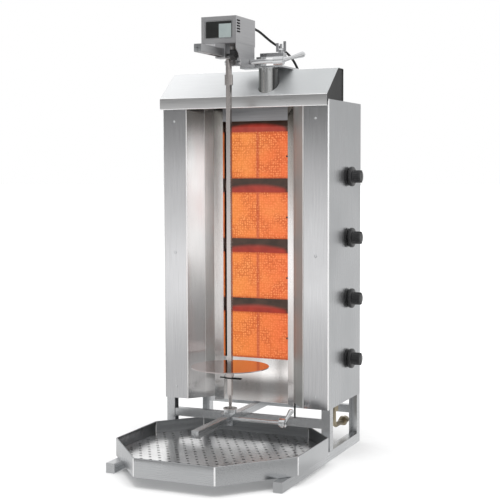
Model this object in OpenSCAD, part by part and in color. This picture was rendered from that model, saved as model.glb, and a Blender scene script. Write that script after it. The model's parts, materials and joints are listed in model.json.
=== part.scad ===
// Free-standing gas grill for doner and gyros meat: an open steel base, a cabinet with four infrared
// burners in an angled recess, a motor on a slotted arm above, a vertical spit, and a drip pan.
// X runs across the front, Y runs from front to back and Z is up. Millimetres.

/* [Cabinet] */
// Width over the side panels
cab_w = 487; // [480:1:500]
// Depth from the front panels to the rear cover
cab_d = 262; // [258:1:300]
// Height of the cabinet's lower edge above the ground
cab_z0 = 138; // [136:1:150]
// Height of the side panels' upper edge
cab_z1 = 955; // [955:1:965]
// Thickness of the sheet metal
sheet = 1.5; // [1:0.1:2]
// Half of the front opening's width
mouth_x = 171; // [165:1:175]
// Half width at the bend of each reflector
bend_x = 136; // [132:1:140]
// Depth of that bend
bend_y = 41; // [38:1:44]
// Half width at the reflector's inner end
throat_x = 119; // [117:1:122]
// Depth of the reflector's inner end
throat_y = 65; // [62:1:66]
// Half width of the burner window
window_x = 97; // [96:1:99]
// Depth of the burner window's rim
window_y = 78; // [76:1:80]
// Depth of the flat wall under the burners
apron_y = 88; // [86:1:90]

/* [Burners] */
// Number of burners, gas valves and knobs
burners = 4; // [4]
// Distance from one burner to the next
burner_pitch = 166.5; // [164:0.5:168]
// Height of the highest burner's centre
burner_top_z = 813; // [810:1:816]
// Width of one ceramic plate
plate_w = 92; // [88:1:94]
// Height of one ceramic plate
plate_h = 132; // [126:1:134]
// Depth at which the ceramic plates start
plate_y = 97; // [96:1:99]

/* [Controls] */
// Depth of the knobs' axes
knob_y = 158; // [150:1:170]
// How far the knobs sit below their burners' centres
knob_drop = 59.5; // [55:0.5:62]
// Diameter of a knob's flange
knob_d = 54; // [48:1:56]
// Free travel of a pressed knob
knob_travel = 3; // [3:0.5:3.5]

/* [Hood] */
// How far the lip stands in front of the cabinet
lip_y = 16; // [14:1:20]
// Height of the lip's lower edge
lip_z0 = 937.5; // [935:0.5:942]
// Height of the lip's upper edge
lip_z1 = 967.5; // [965:0.5:970]
// Depth at which the slope ends
slope_y = 73; // [70:1:78]
// Depth of the hood's back edge
hood_y = 115; // [112:1:120]
// Height of the hood
hood_z = 1041.5; // [1040:0.5:1042]

/* [Base and pan] */
// Width of a rail and of an upright
rail_w = 24.5; // [22:0.5:25]
// Height of a rail
rail_h = 26; // [24:1:28]
// How far the rails reach in front of the cabinet
rail_y = 323; // [300:1:330]
// Height of the pan's wall
pan_h = 48; // [44:1:50]
// Half of the pan's greatest width
pan_x = 256; // [250:1:258]
// Half width of the pan's front edge
pan_front_x = 110; // [105:1:115]
// How far the pan reaches in front of the cabinet
pan_front_y = 418; // [410:1:420]

/* [Spit and drive] */
// How far the spit stands in front of the cabinet
spit_y = 90; // [88:1:92]
// Width of the square spit
spit_w = 11.5; // [11:0.5:12]
// Radius of the meat disc
disc_r = 103; // [95:1:104]
// Height of the meat disc
disc_z = 252; // [250:1:255]
// Width of the square arms
arm_w = 20; // [20]
// Height of the upper arm's lower face
arm_z = 1061; // [1061:1:1062]
// Height of the lower arm's lower face
low_arm_z = 106; // [106]
// Width of the motor housing
box_w = 98; // [96:1:100]
// Depth of the motor housing
box_d = 121; // [121:1:124]
// Height of the motor housing
box_h = 67; // [66:1:72]
// Diameter of the post
post_d = 53; // [48:1:54]

/* [Hidden] */

$fn = 48;
fit = 0.05;                              // radial clearance of a running fit
slide_gap = 0.3;                         // gap between a sleeve and the arm in it
half_w = cab_w / 2;
inner_w = half_w - sheet;                // inner face of a side panel
knob_reach = 38.5;                       // a knob's end, from the side panel
centre_x = (half_w + knob_reach - pan_x) / 2;
centre_y = (cab_d - pan_front_y) / 2;

rail_x = half_w - rail_w;                // inner face of a rail
upright_y = 12;
rear_upright_y = cab_d - rail_w;
bar_h = 22;
bar_z = low_arm_z - bar_h;
pan_z0 = rail_h;
pan_z1 = rail_h + pan_h;
pan_side_y0 = -250;
pan_side_y1 = -34;
pan_back_x = 160;
pan_back_y = 76;
pan_outline = [
    [-pan_front_x, -pan_front_y], [pan_front_x, -pan_front_y], [pan_x, pan_side_y0], [pan_x, pan_side_y1],
    [pan_back_x, pan_back_y], [-pan_back_x, pan_back_y], [-pan_x, pan_side_y1], [-pan_x, pan_side_y0]
];
tray_gap = 5;
tray_z = pan_z0 + 18;
tray_pin = [92, -352];

wing_path = [[mouth_x, 0], [bend_x, bend_y], [throat_x, throat_y]];
strip = 2.5;                             // flat strip from a reflector to its front panel
reflector_path = concat([[mouth_x + strip, 0]], wing_path);
frame_path = [[throat_x, throat_y], [window_x, window_y], [window_x, apron_y + sheet]];
frame_z0 = 127;
window_z1 = 906;
apron_z1 = burner_top_z - (burners - 1) * burner_pitch - plate_h / 2 + 2;
wall_z1 = 948;
roof_z = 950;
box_depth = 46;
shield_y = 172;
duct_y0 = 44;                            // the flue opening in the roof
duct_y1 = 104;

post_x = 66;
post_y = 20;
post_z1 = hood_z;
head_z1 = post_z1 + 5;
screw_x = 102;
screw_r = 3.5;
tab_z = 1071;

arm_front = -272;
arm_back = 47;
slot_w = 11;
housing_y0 = -spit_y - 61;
housing_y1 = housing_y0 + box_d;
housing_z0 = 1095;
housing_z1 = housing_z0 + box_h;
bracket_z0 = 1038;
clamp_z = 1052;
clamp_y = -62;
clamp_tip = 142;
low_clamp_z = low_arm_z + arm_w / 2;
low_arm_front = -300;
arm_knob_y = -126;
arm_knob_z = 1066;

gear_teeth = 60;
pinion_teeth = 12;
gear_module = 1;
gear_gap = 0.11;                         // backlash taken off each side of a tooth
gear_z = 1100;
gear_t = 8;
pinion_y = -spit_y + gear_module * (gear_teeth + pinion_teeth) / 2;
shaft_r = 5;
spindle_r = 8;
spindle_z0 = 1019;
collar_z0 = 992;
foot_r = 5;
cup_z0 = 131;
cup_z1 = 140;
clip_hole_z = 223.5;
clip_wire = 1.75;                        // radius of the spring clip's wire

cable_r = 3.25;
gland_x = 40;
gland_z = 1142;
gland_len = 16;
roof_gland_x = 114;
roof_gland_y = 146;
cable_route = [
    [40, -13.8, 1142], [40.3, 1.3, 1141.3], [41.9, 15.9, 1138.2], [44.8, 29.9, 1133.1],
    [48.8, 43, 1126.6], [54.1, 55.3, 1119.5], [60.6, 67, 1112.5], [68.2, 78.3, 1105.8],
    [76.4, 89, 1098.8], [84.2, 99.1, 1090.7], [91.3, 108.6, 1081.3], [97.4, 117.2, 1070.5],
    [102.2, 124.8, 1058.4], [106.1, 131.4, 1045.3], [109.2, 136.8, 1031.5], [111.5, 141.1, 1017.2],
    [113, 144, 1002.4], [113.8, 145.7, 987.4], [114, 146, 972.2]
];
cable_sides = 10;
cable_steps = 2;                         // rings from one route point to the next

function burner_z(i) = burner_top_z - i * burner_pitch;
function knob_z(i) = burner_z(i) - knob_drop;
function unit(v) = v / norm(v);
function mirrored(points) = [for (p = points) [-p[0], p[1]]];
function reversed(points) = [for (i = [len(points) - 1 : -1 : 0]) points[i]];

// Moves every edge of a counter-clockwise outline inwards by d.
function inset(points, d) = [
    for (i = [0 : len(points) - 1])
        let (
            n = len(points),
            a = unit(points[i] - points[(i + n - 1) % n]),
            b = unit(points[(i + 1) % n] - points[i]),
            na = [-a[1], a[0]],
            nb = [-b[1], b[0]]
        )
        points[i] + d * (na + nb) / (1 + na * nb)
];

// The same path shifted to its right by t, with mitred corners.
function shifted(points, t) = [
    for (i = [0 : len(points) - 1])
        let (
            last = len(points) - 1,
            a = unit(points[max(i, 1)] - points[max(i, 1) - 1]),
            b = unit(points[min(i, last - 1) + 1] - points[min(i, last - 1)]),
            na = [a[1], -a[0]],
            nb = [b[1], -b[0]]
        )
        points[i] + t * (na + nb) / (1 + na * nb)
];

// A smooth curve through the points of a route.
function spline(p, i, t) =
    let (
        a = p[max(i - 1, 0)],
        b = p[i],
        c = p[i + 1],
        d = p[min(i + 2, len(p) - 1)]
    )
    0.5 * (2 * b + (c - a) * t + (2 * a - 5 * b + 4 * c - d) * t * t
        + (3 * b - a - 3 * c + d) * t * t * t);
function smooth(p, n) = concat(
    [for (i = [0 : len(p) - 2]) for (k = [0 : n - 1]) spline(p, i, k / n)],
    [p[len(p) - 1]]
);

module placed() {
    translate([-centre_x, -centre_y, 0])
        children();
}

module both_sides() {
    children();
    mirror([1, 0, 0])
        children();
}

// A box given by its lowest and highest corners.
module block(low, high) {
    translate(low)
        cube(high - low);
}

// Bent sheet: a path in plan, given a thickness and a height.
module folded_sheet(path, t, z0, z1) {
    translate([0, 0, z0])
        linear_extrude(z1 - z0)
            polygon(concat(path, reversed(shifted(path, t))));
}

// A profile drawn in Y and Z, run across the width.
module across(points, x0, x1) {
    translate([x0, 0, 0])
        rotate([90, 0, 90])
            linear_extrude(x1 - x0)
                polygon(points);
}

module rod_x(r, x0, x1) {
    translate([x0, 0, 0])
        rotate([0, 90, 0])
            cylinder(r = r, h = x1 - x0);
}

module rod_y(r, y0, y1) {
    translate([0, y0, 0])
        rotate([-90, 0, 0])
            cylinder(r = r, h = y1 - y0);
}

// ---- base frame

module base_rail() {
    difference() {
        block([rail_x, -rail_y, 0], [half_w, cab_d, rail_h]);
        block([rail_x - 1, -rail_y + 2, 2], [half_w - 2, cab_d - 2, rail_h - 2]);
    }
}

module base_rail_left() {
    color("silver")
        placed()
            mirror([1, 0, 0])
                base_rail();
}

module base_rail_right() {
    color("silver")
        placed()
            base_rail();
}

module front_uprights() {
    color("silver")
        placed()
            both_sides()
                difference() {
                    block([rail_x, upright_y, rail_h], [half_w, upright_y + rail_w, cab_z0]);
                    block([rail_x - 1, upright_y + 2, rail_h - 1],
                        [half_w - 2, upright_y + rail_w - 2, cab_z0 + 1]);
                }
}

module rear_uprights() {
    color("silver")
        placed()
            both_sides()
                difference() {
                    block([rail_x, rear_upright_y, rail_h], [half_w, cab_d, cab_z0]);
                    block([rail_x + 2, rear_upright_y - 1, rail_h - 1],
                        [half_w - 2, cab_d - 2, cab_z0 + 1]);
                }
}

// An angle bar between two uprights, which carries the lower arm.
module cross_bar(y) {
    block([-rail_x, y, bar_z], [rail_x, y + 2, bar_z + bar_h]);
    block([-rail_x, y + 2, bar_z + bar_h - 2], [rail_x, y + 20, bar_z + bar_h]);
}

module front_cross_bar() {
    color("silver")
        placed()
            cross_bar(upright_y + 2);
}

module rear_cross_bar() {
    color("silver")
        placed()
            cross_bar(rear_upright_y + 2);
}

// ---- cabinet sheet metal

module side_panel_left() {
    color("lightgray")
        placed()
            block([-half_w, 0, cab_z0], [-inner_w, cab_d, cab_z1]);
}

module side_panel_right() {
    color("lightgray")
        placed()
            difference() {
                block([inner_w, 0, cab_z0], [half_w, cab_d, cab_z1]);
                for (i = [0 : burners - 1])
                    translate([0, knob_y, knob_z(i)])
                        rod_x(7, inner_w - 1, half_w + 1);
            }
}

module front_panel() {
    block([mouth_x + strip, 0, cab_z0], [inner_w, sheet, roof_z]);
}

module front_panel_left() {
    color("gainsboro")
        placed()
            mirror([1, 0, 0])
                front_panel();
}

module front_panel_right() {
    color("gainsboro")
        placed()
            front_panel();
}

// The reflector starts with a short flat strip that meets the front panel's edge.
module reflector() {
    folded_sheet(reflector_path, sheet, cab_z0, wall_z1);
}

module reflector_left() {
    color("white")
        placed()
            mirror([1, 0, 0])
                reflector();
}

module reflector_right() {
    color("white")
        placed()
            reflector();
}

module burner_frame() {
    apron = [
        [apron_y, apron_z1], [apron_y, frame_z0 + 30], [window_y, frame_z0 + 3],
        [window_y + sheet, frame_z0 + 2], [apron_y + sheet, frame_z0 + 29.6], [apron_y + sheet, apron_z1]
    ];
    color("gainsboro")
        placed() {
            both_sides()
                folded_sheet(frame_path, sheet, frame_z0, wall_z1);
            across(apron, -window_x, window_x);
            block([-window_x, window_y, window_z1], [window_x, window_y + sheet, wall_z1]);
        }
}

module floor_panel() {
    edge = concat([[inner_w, sheet]], shifted(reflector_path, sheet),
        [[window_x + sheet, apron_y + 2]]);
    color("gray")
        placed()
            translate([0, 0, cab_z0])
                linear_extrude(sheet)
                    polygon(concat(edge, reversed(mirrored(edge)),
                        [[-inner_w, cab_d - sheet], [inner_w, cab_d - sheet]]));
}

module roof_panel() {
    color("lightgray")
        placed()
            difference() {
                block([-inner_w, 0, roof_z], [inner_w, cab_d - sheet, roof_z + sheet]);
                both_sides()
                    block([110, duct_y0, roof_z - 1], [230, duct_y1, roof_z + sheet + 1]);
                translate([roof_gland_x, roof_gland_y, roof_z - 1])
                    cylinder(r = 6, h = sheet + 2);
            }
}

module heat_shield() {
    color("gray")
        placed()
            block([-190, shield_y, cab_z0 + sheet], [190, shield_y + sheet, roof_z]);
}

module rear_cover() {
    vent_rows = 7;
    vent_pitch = 26;
    color("lightgray")
        placed()
            difference() {
                block([-inner_w, cab_d - sheet, cab_z0], [inner_w, cab_d, cab_z1]);
                both_sides()
                    for (i = [0 : vent_rows - 1])
                        block([60, cab_d - sheet - 1, 700 + i * vent_pitch],
                            [180, cab_d + 1, 708 + i * vent_pitch]);
            }
}

hood_profile = [
    [-lip_y, lip_z0], [-lip_y, lip_z1], [slope_y, hood_z], [hood_y, hood_z], [hood_y, roof_z + sheet]
];

// The post comes up through a round hole in the slope.
module hood() {
    hole = post_d / 2 + 1;
    color("whitesmoke")
        placed()
            difference() {
                across(concat(hood_profile, reversed(shifted(hood_profile, sheet))), -half_w, half_w);
                translate([post_x, post_y, lip_z1 - 6])
                    cylinder(r = hole, h = 90);
                both_sides()
                    block([inner_w - 0.5, -1, lip_z0 - 1], [half_w + 1, hood_y + 1, cab_z1 + 0.5]);
            }
}

module hood_cheeks() {
    inner = shifted(hood_profile, sheet);
    cheek = [
        [inner[0][0], roof_z + sheet], inner[1], inner[2], inner[3], [inner[4][0], roof_z + sheet]
    ];
    color("dimgray")
        placed()
            both_sides()
                across(cheek, inner_w - sheet - 1, inner_w - 1);
}

module panel_screws() {
    heads = [[207, 906], [207, 545], [207, 170]];
    color("lightgray")
        placed()
            both_sides()
                for (p = heads)
                    translate([p[0], 0, p[1]]) {
                        rod_y(3.6, -1.6, 0);
                        translate([0, -1.6, 0])
                            rotate([90, 0, 0])
                                cylinder(r1 = 3.6, r2 = 2.2, h = 0.8);
                    }
}

// ---- burners and gas line

// Pressed strips that close the gaps between the burners and throw the heat forwards.
module burner_deflectors() {
    gap = burner_pitch - plate_h + 4;
    back = plate_y - sheet - 0.1;
    color("saddlebrown")
        placed()
            for (i = [0 : burners - 1])
                translate([0, 0, burner_z(i) + plate_h / 2 - 2])
                    across([
                        [back, 0], [back - 8, gap * 0.35], [back - 1, gap - (i == 0 ? 8 : 0)],
                        [back + sheet - 1, gap - (i == 0 ? 8 : 0)],
                        [back - 8 + sheet, gap * 0.35 + 1], [back + sheet, 1]
                    ], -window_x + 1, window_x - 1);
}

module burner_boxes() {
    wall = 3;
    color("dimgray")
        placed()
            for (i = [0 : burners - 1])
                translate([0, 0, burner_z(i)])
                    difference() {
                        block([-plate_w - wall, plate_y + sheet, -plate_h / 2 - wall],
                            [plate_w + wall, plate_y + box_depth, plate_h / 2 + wall]);
                        block([-plate_w, plate_y, -plate_h / 2],
                            [plate_w, plate_y + 13, plate_h / 2]);
                        block([-plate_w + 5, plate_y, -plate_h / 2 + 5],
                            [plate_w - 5, plate_y + box_depth - wall, plate_h / 2 - 5]);
                        translate([0, plate_y + box_depth - 18, 0])
                            rod_x(11, plate_w - 8, plate_w + wall + 1);
                    }
}

module ceramic_plates() {
    color("orangered")
        placed()
            for (i = [0 : burners - 1])
                for (side = [-1, 1])
                    translate([side * plate_w / 2, plate_y, burner_z(i)])
                        block([-plate_w / 2 + 0.4, 0, -plate_h / 2 + 0.2],
                            [plate_w / 2 - 0.4, 13, plate_h / 2 - 0.2]);
}

// Each mixing tube leaves its burner on the right and ends in a bell in front of its jet.
module mixing_tubes() {
    tube_y = plate_y + box_depth - 18;
    color("silver")
        placed()
            for (i = [0 : burners - 1])
                translate([0, tube_y, burner_z(i)])
                    rotate([0, 90, 0])
                        rotate_extrude()
                            polygon([
                                [8, plate_w - 6], [11, plate_w - 6], [11, 160], [15, 172],
                                [13, 172], [8, 158]
                            ]);
}

module gas_manifold() {
    pipe_x = 205;
    pipe_y = 205;
    tube_y = plate_y + box_depth - 18;
    color("goldenrod")
        placed() {
            translate([pipe_x, pipe_y, cab_z0 + sheet])
                cylinder(r = 7, h = burner_top_z - cab_z0 - 20);
            for (i = [0 : burners - 1]) {
                translate([pipe_x, 0, knob_z(i)])
                    rod_y(4.5, knob_y + 12, pipe_y - 3);
                translate([0, tube_y, burner_z(i)])
                    rod_x(5, 178, 214);
                translate([209, tube_y, knob_z(i) + 12])
                    cylinder(r = 3, h = knob_drop - 12);
                translate([209, 0, knob_z(i) + 14])
                    rod_y(3, tube_y - 3, knob_y - 12);
            }
        }
}

module gas_valves() {
    color("peru")
        placed()
            for (i = [0 : burners - 1])
                translate([0, knob_y, knob_z(i)])
                    difference() {
                        union() {
                            block([196, -12, -14], [226, 12, 20]);
                            rod_x(9, 226, inner_w);
                        }
                        rod_x(4 + fit, 214, inner_w + 1);
                    }
}

module valve_spindle(i) {
    color("silver")
        placed()
            translate([0, knob_y, knob_z(i)])
                rod_x(4, 218, half_w + 24);
}

module valve_spindle_1() { valve_spindle(0); }
module valve_spindle_2() { valve_spindle(1); }
module valve_spindle_3() { valve_spindle(2); }
module valve_spindle_4() { valve_spindle(3); }

module knob_bezels() {
    color("black")
        placed()
            for (i = [0 : burners - 1])
                translate([half_w, knob_y, knob_z(i)])
                    rotate([0, 90, 0])
                        rotate_extrude()
                            polygon([[7, 0], [25, 0], [25, 2], [23.5, 3], [7, 3]]);
}

// A flanged knob with a ribbed grip and a pointer bar.
module gas_knob(i) {
    back = 3 + knob_travel + 0.5;
    flange = back + 9;
    color("black")
        placed()
            translate([half_w, knob_y, knob_z(i)])
                difference() {
                    union() {
                        rotate([0, 90, 0])
                            rotate_extrude()
                                polygon([
                                    [0, back], [knob_d / 2 - 1, back], [knob_d / 2, back + 1],
                                    [knob_d / 2, flange - 3], [knob_d / 2 - 3, flange],
                                    [17, flange + 1], [16, knob_reach - 2], [14, knob_reach],
                                    [0, knob_reach]
                                ]);
                        block([flange, -4, -17.5], [knob_reach - 1, 4, 17.5]);
                    }
                    rod_x(4 + fit, -1, 24.1);
                }
}

module gas_knob_1() { gas_knob(0); }
module gas_knob_2() { gas_knob(1); }
module gas_knob_3() { gas_knob(2); }
module gas_knob_4() { gas_knob(3); }

module thermocouples() {
    color("black")
        placed()
            for (i = [0 : burners - 1])
                translate([window_x - 7, 0, burner_z(i) - 4]) {
                    rod_y(2.2, plate_y - 9, plate_y - 1);
                    translate([0, plate_y - 4, 0])
                        rod_x(1.4, 0, 16);
                }
}

module gas_inlet() {
    inlet_x = 205;
    drop_y = 150;
    bend_r = 20;
    run_z = 62;
    pipe_r = 6.5;
    tail_y = 236;
    thread_r = 10.475;
    color("goldenrod")
        placed() {
            translate([inlet_x, drop_y, run_z + bend_r])
                cylinder(r = pipe_r, h = cab_z0 - run_z - bend_r);
            translate([inlet_x, drop_y, 106])
                cylinder(r = 13, h = 22, $fn = 6);
            translate([inlet_x, drop_y + bend_r, run_z + bend_r])
                rotate([0, 90, 0])
                    rotate([0, 0, -90])
                        rotate_extrude(angle = 90)
                            translate([bend_r, 0])
                                circle(r = pipe_r);
            translate([inlet_x, 0, run_z]) {
                rod_y(pipe_r, drop_y + bend_r, tail_y + 14);
                translate([0, tail_y - 12, 0])
                    rotate([-90, 0, 0])
                        cylinder(r = 14, h = 12, $fn = 6);
                rod_y(thread_r, tail_y, tail_y + 14);
            }
        }
}

// ---- pan and tray

module drip_pan() {
    color("silver")
        placed()
            difference() {
                translate([0, 0, pan_z0])
                    linear_extrude(pan_h)
                        polygon(pan_outline);
                translate([0, 0, pan_z0 + sheet])
                    linear_extrude(pan_h)
                        polygon(inset(pan_outline, sheet));
            }
}

// The perforated tray is an upturned dish that stands in the pan; a small pin lifts it.
module perforated_tray() {
    rim = inset(pan_outline, tray_gap);
    color("whitesmoke")
        placed() {
            difference() {
                translate([0, 0, pan_z0 + sheet])
                    linear_extrude(tray_z - pan_z0 - sheet)
                        polygon(rim);
                translate([0, 0, pan_z0 + sheet - 1])
                    linear_extrude(tray_z - pan_z0 - 2 * sheet + 1)
                        polygon(inset(rim, sheet));
            }
            translate([tray_pin[0], tray_pin[1], tray_z])
                cylinder(r = 4.5, h = 16);
        }
}

// A peg under the floor panel, half a millimetre behind the pan.
module pan_stop() {
    peg_r = 2.5;
    peg_z0 = 62;
    color("black")
        placed()
            translate([117, pan_back_y + peg_r + 0.5, peg_z0])
                cylinder(r = peg_r, h = cab_z0 - peg_z0);
}

// ---- post and arms

module post() {
    flange_r = 33;
    flange_z = roof_z + sheet + 5;
    color("silver")
        placed()
            translate([post_x, post_y, 0])
                rotate_extrude()
                    polygon([
                        [0, roof_z + sheet], [flange_r, roof_z + sheet], [flange_r, flange_z],
                        [post_d / 2, flange_z], [post_d / 2, post_z1], [0, post_z1]
                    ]);
}

module post_head() {
    color("whitesmoke")
        placed()
            difference() {
                union() {
                    block([post_x - 28, post_y - post_d / 2, post_z1], [screw_x + 13, hood_y, head_z1]);
                    block([-arm_w / 2, 2, head_z1 - 5], [post_x - 28, 38, arm_z]);
                    block([post_x - 28, 2, head_z1], [52, 38, tab_z]);
                    block([46, 8, tab_z], [screw_x + 11, 32, tab_z + 10]);
                }
                translate([screw_x, post_y, post_z1 - 1])
                    cylinder(r = screw_r + fit, h = 50);
            }
}

// Screw that levels the arm, with its wing nut.
module level_screw() {
    color("silver")
        placed()
            translate([screw_x, post_y, 0]) {
                translate([0, 0, head_z1 - 4])
                    cylinder(r = screw_r, h = 62);
                translate([0, 0, tab_z + 10])
                    cylinder(r = 8, h = 7);
                translate([0, 0, tab_z + 17])
                    cylinder(r1 = 8, r2 = 5, h = 4);
                block([-14, -1.5, tab_z + 13], [-7, 1.5, tab_z + 36]);
                block([7, -1.5, tab_z + 13], [14, 1.5, tab_z + 40]);
            }
}

module upper_arm() {
    inner = arm_w / 2 - 2;
    color("silver")
        placed()
            difference() {
                block([-arm_w / 2, arm_front, arm_z], [arm_w / 2, arm_back, arm_z + arm_w]);
                block([-inner, arm_front + 3, arm_z + 2], [inner, arm_back - 3, arm_z + arm_w - 2]);
                block([-slot_w / 2, -spit_y - 115, arm_z - 1],
                    [slot_w / 2, -spit_y + 35, arm_z + arm_w + 1]);
            }
}

module lower_arm() {
    inner = arm_w / 2 - 2;
    color("silver")
        placed()
            difference() {
                block([-arm_w / 2, low_arm_front, low_arm_z],
                    [arm_w / 2, cab_d - 4, low_arm_z + arm_w]);
                block([-inner, low_arm_front + 3, low_arm_z + 2],
                    [inner, cab_d - 7, low_arm_z + arm_w - 2]);
            }
}

// ---- motor unit, which slides along the upper arm

module motor_housing() {
    window = [13, 10];                   // margins of the recessed front field
    side_y = housing_y0 + 6;
    color("silver")
        placed()
            difference() {
                block([-box_w / 2, housing_y0, housing_z0], [box_w / 2, housing_y1, housing_z1]);
                block([-box_w / 2 + sheet, housing_y0 + sheet + 2, housing_z0 - 1],
                    [box_w / 2 - sheet, housing_y1 - sheet, housing_z1 - sheet]);
                block([-box_w / 2 + window[1], housing_y0 - 1, housing_z0 + window[1]],
                    [box_w / 2 - window[1], housing_y0 + 2, housing_z1 - window[1]]);
                for (i = [0 : 4])
                    block([box_w / 2 - sheet - 1, side_y, housing_z0 + 26 + i * 7],
                        [box_w / 2 + 1, side_y + 20, housing_z0 + 29.5 + i * 7]);
                translate([gland_x, 0, gland_z])
                    rod_y(5, housing_y1 - sheet - 1, housing_y1 + 1);
            }
}

// A saddle under the housing with one folded cheek and two sleeves that run on the arm.
module motor_bracket() {
    hole = arm_w / 2 + slide_gap;
    cheek = [
        [housing_y0, housing_z0], [housing_y0, 1079], [housing_y0 + 22, 1064],
        [housing_y0 + 30, bracket_z0], [housing_y1 - 4, bracket_z0], [housing_y1 - 4, housing_z0]
    ];
    color("silver")
        placed()
            difference() {
                union() {
                    across(cheek, box_w / 2 - 2, box_w / 2);
                    block([-box_w / 2, housing_y0, housing_z0 - 2],
                        [box_w / 2, housing_y1, housing_z0]);
                    block([-14, -142, arm_z - 4], [14, -112, housing_z0 - 2]);
                    block([-14, -74, clamp_z - 8], [14, -50, housing_z0 - 2]);
                    translate([0, -spit_y, housing_z0 - 2])
                        cylinder(r = 12, h = 5);
                }
                block([-hole, -143, arm_z - slide_gap], [hole, -49, arm_z + arm_w + slide_gap]);
                block([-1.5, -75, clamp_z - 9], [1.5, -49, arm_z]);
                translate([0, -spit_y, housing_z0 - 3])
                    cylinder(r = shaft_r + fit, h = 7);
                translate([0, clamp_y, clamp_z])
                    rod_x(4 + fit, -15, box_w / 2 + 1);
                translate([0, arm_knob_y, arm_knob_z])
                    rod_x(3 + fit, 9, 15);
            }
}

module gear_motor() {
    can_r = 21;
    color("dimgray")
        placed()
            difference() {
                union() {
                    translate([0, pinion_y, gear_z + 11])
                        cylinder(r = can_r, h = 44);
                    translate([0, pinion_y, gear_z + 55])
                        cylinder(r1 = can_r - 2, r2 = can_r - 5, h = 3);
                    block([-34, pinion_y - 9, gear_z + 11], [34, pinion_y + 9, gear_z + 14]);
                    both_sides()
                        translate([29, pinion_y, housing_z0])
                            cylinder(r = 3.5, h = gear_z + 11 - housing_z0);
                }
                translate([0, pinion_y, gear_z + 10])
                    cylinder(r = 2.5 + fit, h = 12);
            }
}

// Straight-sided gear teeth, thinned for backlash.
module gear_outline(teeth) {
    pitch_r = gear_module * teeth / 2;
    root_r = pitch_r - 1.3 * gear_module;
    half = PI * gear_module / 4 - gear_gap;
    union() {
        circle(r = root_r, $fn = 120);
        for (i = [0 : teeth - 1])
            rotate(i * 360 / teeth)
                polygon([
                    [root_r - 1, -half - 0.5], [pitch_r, -half], [pitch_r + 0.9 * gear_module, -half + 0.45],
                    [pitch_r + 0.9 * gear_module, half - 0.45], [pitch_r, half], [root_r - 1, half + 0.5]
                ]);
    }
}

module motor_pinion() {
    color("goldenrod")
        placed()
            translate([0, pinion_y, gear_z - 1]) {
                rotate(180 / pinion_teeth)
                    linear_extrude(gear_t + 2)
                        gear_outline(pinion_teeth);
                cylinder(r = 2.5, h = 20);
            }
}

module output_gear() {
    color("goldenrod")
        placed()
            translate([0, -spit_y, 0]) {
                translate([0, 0, gear_z])
                    linear_extrude(gear_t)
                        gear_outline(gear_teeth);
                translate([0, 0, housing_z0 + 3.3])
                    cylinder(r = 9, h = gear_z - housing_z0 + 8);
                translate([0, 0, arm_z - 3])
                    cylinder(r = shaft_r, h = gear_z + 18 - arm_z);
            }
}

module motor_gland() {
    color("black")
        placed()
            translate([gland_x, housing_y1, gland_z])
                rotate([-90, 0, 0]) {
                    cylinder(r = 8, h = 4, $fn = 6);
                    translate([0, 0, 4])
                        cylinder(r1 = 6.5, r2 = 4.6, h = gland_len - 4);
                    translate([0, 0, -4])
                        cylinder(r = 4.9, h = 4);
                }
}

module roof_gland() {
    color("black")
        placed()
            translate([roof_gland_x, roof_gland_y, roof_z + sheet]) {
                cylinder(r = 11, h = 6, $fn = 6);
                translate([0, 0, 6])
                    cylinder(r1 = 7.5, r2 = 4.6, h = 14.5);
                translate([0, 0, -4])
                    cylinder(r = 5.9, h = 4);
            }
}

// The cable, swept along its route.
module motor_cable() {
    line = smooth(cable_route, cable_steps);
    last = len(line) - 1;
    rings = [
        for (i = [0 : last])
            let (
                along = unit(line[min(i + 1, last)] - line[max(i - 1, 0)]),
                side = unit(cross(along, [1, 0, 0])),
                up = cross(side, along)
            )
            for (k = [0 : cable_sides - 1])
                line[i] + cable_r * (cos(k * 360 / cable_sides) * side
                    + sin(k * 360 / cable_sides) * up)
    ];
    ends = [
        [for (k = [0 : cable_sides - 1]) k],
        [for (k = [cable_sides - 1 : -1 : 0]) last * cable_sides + k]
    ];
    sides = [
        for (i = [0 : last - 1])
            for (k = [0 : cable_sides - 1])
                let (a = i * cable_sides + k, b = i * cable_sides + (k + 1) % cable_sides)
                [a, a + cable_sides, b + cable_sides, b]
    ];
    color("black")
        placed()
            polyhedron(points = rings, faces = concat(ends, sides), convexity = 6);
}

// A clamp lever: hub, tapered arm and ball end, drawn from the hub's centre.
module lever_arm(reach, r) {
    hull() {
        sphere(r = r, $fn = 24);
        translate(reach * 0.5)
            sphere(r = r * 0.65, $fn = 24);
    }
    hull() {
        translate(reach * 0.5)
            sphere(r = r * 0.65, $fn = 24);
        translate(reach)
            sphere(r = r * 1.1, $fn = 24);
    }
}

module upper_clamp_lever() {
    color("silver")
        placed()
            translate([0, clamp_y, clamp_z]) {
                rod_x(4, -18, box_w / 2 + 2);
                rod_x(6.5, -22, -18);
                rod_x(6.2, box_w / 2 + 1, clamp_tip - 26);
                rod_x(11, clamp_tip - 26, clamp_tip);
                translate([clamp_tip - 8, 0, 0])
                    lever_arm([50, 26, 16], 7);
            }
}

module lower_clamp_lever() {
    color("silver")
        placed()
            translate([0, -spit_y, low_clamp_z]) {
                rod_x(4, arm_w / 2 + slide_gap + 0.2, clamp_tip);
                rod_x(11, clamp_tip, clamp_tip + 16);
                translate([clamp_tip + 8, -4, -6])
                    lever_arm([14, 26, 32], 6.5);
            }
}

module arm_knob() {
    lobes = 5;
    color("black")
        placed()
            translate([0, arm_knob_y, arm_knob_z]) {
                rod_x(3, 10.6, 26);
                translate([24, 0, 0])
                    rotate([0, 90, 0])
                        linear_extrude(14)
                            union() {
                                circle(r = 11);
                                for (i = [0 : lobes - 1])
                                    rotate(i * 360 / lobes)
                                        translate([10, 0])
                                            circle(r = 4.5);
                            }
            }
}

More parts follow.
